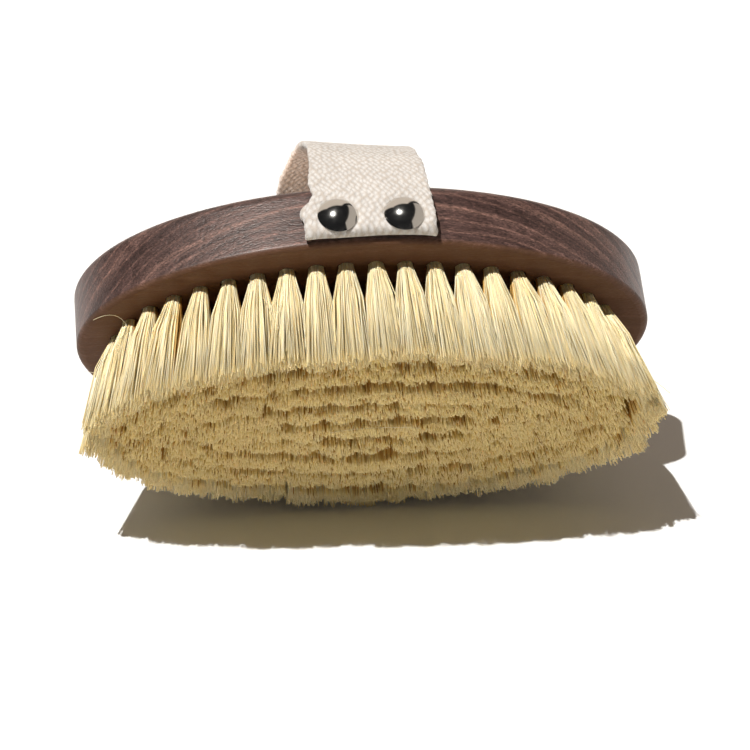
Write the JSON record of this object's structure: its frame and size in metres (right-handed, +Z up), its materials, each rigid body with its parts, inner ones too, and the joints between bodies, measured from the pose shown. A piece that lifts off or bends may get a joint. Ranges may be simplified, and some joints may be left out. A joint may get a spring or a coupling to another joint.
{
  "type": "body dry brush",
  "caption": "Oval wooden body brush with plant-fibre bristle tufts and a cotton hand strap held by dome heads, lying on its long edge.",
  "frame": {"origin": "middle of the object's footprint on the surface it lies on", "axes": "+Z up from that surface, +X along the block's length, and the hand strap towards +Y with the bristles towards -Y, leaning 22 degrees down at the bristle side"},
  "size_m": [0.135, 0.0832, 0.0842],
  "materials": {
    "block_wood": "satin",
    "strap_cotton": "matte",
    "polished_nickel": "polished",
    "nail_steel": "satin",
    "plant_fibre": "matte"
  },
  "bodies": {
    "root": {"wooden_block": "block_wood", "hand_strap": "strap_cotton", "dome_cap_front_left": "polished_nickel", "dome_cap_front_right": "polished_nickel", "dome_cap_back_left": "polished_nickel", "dome_cap_back_right": "polished_nickel", "nail_front_left": "nail_steel", "nail_front_right": "nail_steel", "nail_back_left": "nail_steel", "nail_back_right": "nail_steel", "tuft_ring_1": "plant_fibre", "tuft_ring_2": "plant_fibre", "tuft_ring_3": "plant_fibre", "tuft_ring_4": "plant_fibre", "tuft_middle_row": "plant_fibre", "anchor_ring_1": "nail_steel", "anchor_ring_2": "nail_steel", "anchor_ring_3": "nail_steel", "anchor_ring_4": "nail_steel", "anchor_middle_row": "nail_steel"}
  },
  "joints": []
}
